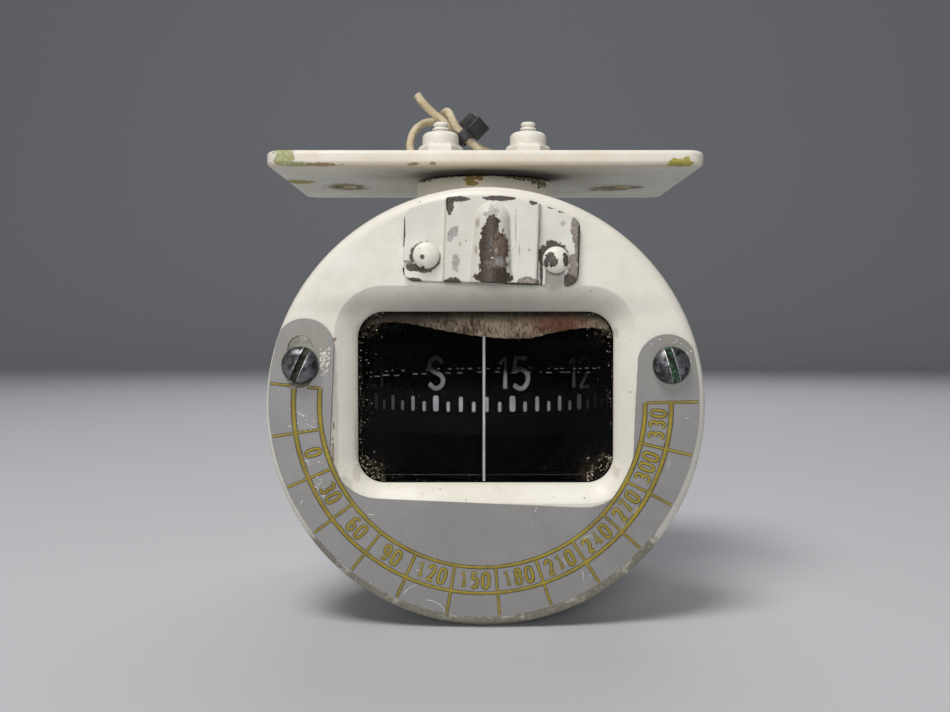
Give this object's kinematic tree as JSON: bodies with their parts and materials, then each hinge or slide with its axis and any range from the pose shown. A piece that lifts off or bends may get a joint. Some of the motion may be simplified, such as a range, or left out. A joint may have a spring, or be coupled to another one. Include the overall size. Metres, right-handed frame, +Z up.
{
  "type": "aircraft compass",
  "caption": "Liquid-filled magnetic aircraft compass: round face with a card window, lamp cover and correction plate, hung from a bolted mounting plate.",
  "frame": {"origin": "midway between the two fixing holes, on the top face of the mounting plate", "axes": "+Z up out of the mounting plate, -Y out of the face towards the reader, +X to the reader's right"},
  "size_m": [0.089, 0.0878, 0.113],
  "materials": {
    "painted_case": "satin off-white paint, worn and stained",
    "correction_metal": "brushed, engraved and filled in yellow",
    "dark_screw": "blackened, with green corrosion in the slot",
    "plain_steel": "plated screws and pins",
    "brass": "turned brass",
    "magnet": "bare magnet alloy",
    "card_black": "matt black with pale figures",
    "lubber_white": "white line",
    "float_alloy": "dull thin sheet",
    "window_glass": "clear, dusty at the corners",
    "bulb_glass": "clear",
    "bakelite": "brown moulded",
    "rubber": "black gasket and grommet rubber",
    "jewel": "polished red stone",
    "lead_insulation": "aged cream insulation",
    "tie_nylon": "black nylon"
  },
  "bodies": {
    "case": {"mounting_plate": "painted_case", "neck_pad": "painted_case", "mounting_studs": "painted_case", "stud_washers": "painted_case", "stud_nuts": "painted_case", "case_body": "painted_case", "front_bezel": "painted_case", "lamp_cover": "painted_case", "lamp_cover_screws": "painted_case", "rear_cover": "painted_case", "compensator_box": "painted_case", "pad_gasket": "rubber", "bezel_gasket": "rubber", "window_gasket": "rubber", "rear_gasket": "rubber", "filler_washer": "rubber", "lead_grommet": "rubber", "bezel_screws": "plain_steel", "retainer_screws": "plain_steel", "post_screws": "plain_steel", "rear_cover_screws": "plain_steel", "filler_plug": "plain_steel", "compensator_screws": "plain_steel", "jewel_spring": "plain_steel", "window_glass": "window_glass", "plate_pivot_screw": "dark_screw", "plate_slot_screw": "dark_screw", "lubber_line": "lubber_white", "lamp_socket": "brass", "post_cap": "brass", "jewel_post": "brass", "diaphragm": "brass", "lamp_base": "bakelite", "lamp_bulb": "bulb_glass", "window_retainer": "float_alloy", "lamp_wire": "lead_insulation", "lamp_lead": "lead_insulation", "lead_tie": "tie_nylon"},
    "correction_plate": {"correction_plate": "correction_metal"},
    "jewel_cup": {"jewel_cup": "brass", "jewel": "jewel"},
    "compass_card": {"compass_card": "card_black", "card_spider": "float_alloy", "card_float": "float_alloy", "card_magnets": "magnet", "pivot_pin": "plain_steel"},
    "ew_adjuster": {"ew_drive_shaft": "brass", "ew_drive_gear": "brass", "ew_drive_magnet": "magnet"},
    "ew_follower": {"ew_driven_shaft": "brass", "ew_driven_gear": "brass", "ew_driven_magnet": "magnet"},
    "ns_adjuster": {"ns_drive_shaft": "brass", "ns_drive_gear": "brass", "ns_drive_magnet": "magnet"},
    "ns_follower": {"ns_driven_shaft": "brass", "ns_driven_gear": "brass", "ns_driven_magnet": "magnet"}
  },
  "joints": [
    {"name": "correction_plate_swing", "type": "hinge", "parent": "case", "child": "correction_plate", "pos_m": [0.03585, -0.0474, -0.04301], "axis": [0, 1, 0], "range_deg": [-2.5, 1.5]},
    {"name": "jewel_spring_travel", "type": "slide", "parent": "case", "child": "jewel_cup", "axis": [0, 0, 1], "range_m": [-0.0008, 0], "stiffness_N_per_m": 400, "springref_m": 0.003, "deforming": ["jewel_spring"]},
    {"name": "card_turn", "type": "hinge", "parent": "jewel_cup", "child": "compass_card", "pos_m": [0, -0.0084, -0.04691], "axis": [0, 0, 1], "continuous": true},
    {"name": "ew_adjuster_turn", "type": "hinge", "parent": "case", "child": "ew_adjuster", "pos_m": [-0.004, -0.0174, -0.09132], "axis": [0, 0, 1], "continuous": true},
    {"name": "ew_follower_turn", "type": "hinge", "parent": "case", "child": "ew_follower", "pos_m": [0.004, -0.0174, -0.09132], "axis": [0, 0, 1], "continuous": true},
    {"name": "ns_adjuster_turn", "type": "hinge", "parent": "case", "child": "ns_adjuster", "pos_m": [0, -0.0074, -0.09132], "axis": [0, 0, 1], "continuous": true},
    {"name": "ns_follower_turn", "type": "hinge", "parent": "case", "child": "ns_follower", "pos_m": [0, 0.0006, -0.09132], "axis": [0, 0, 1], "continuous": true}
  ],
  "couplings": [
    {"joint": "ew_follower_turn", "follows": "ew_adjuster_turn", "ratio": -1},
    {"joint": "ns_follower_turn", "follows": "ns_adjuster_turn", "ratio": -1}
  ]
}
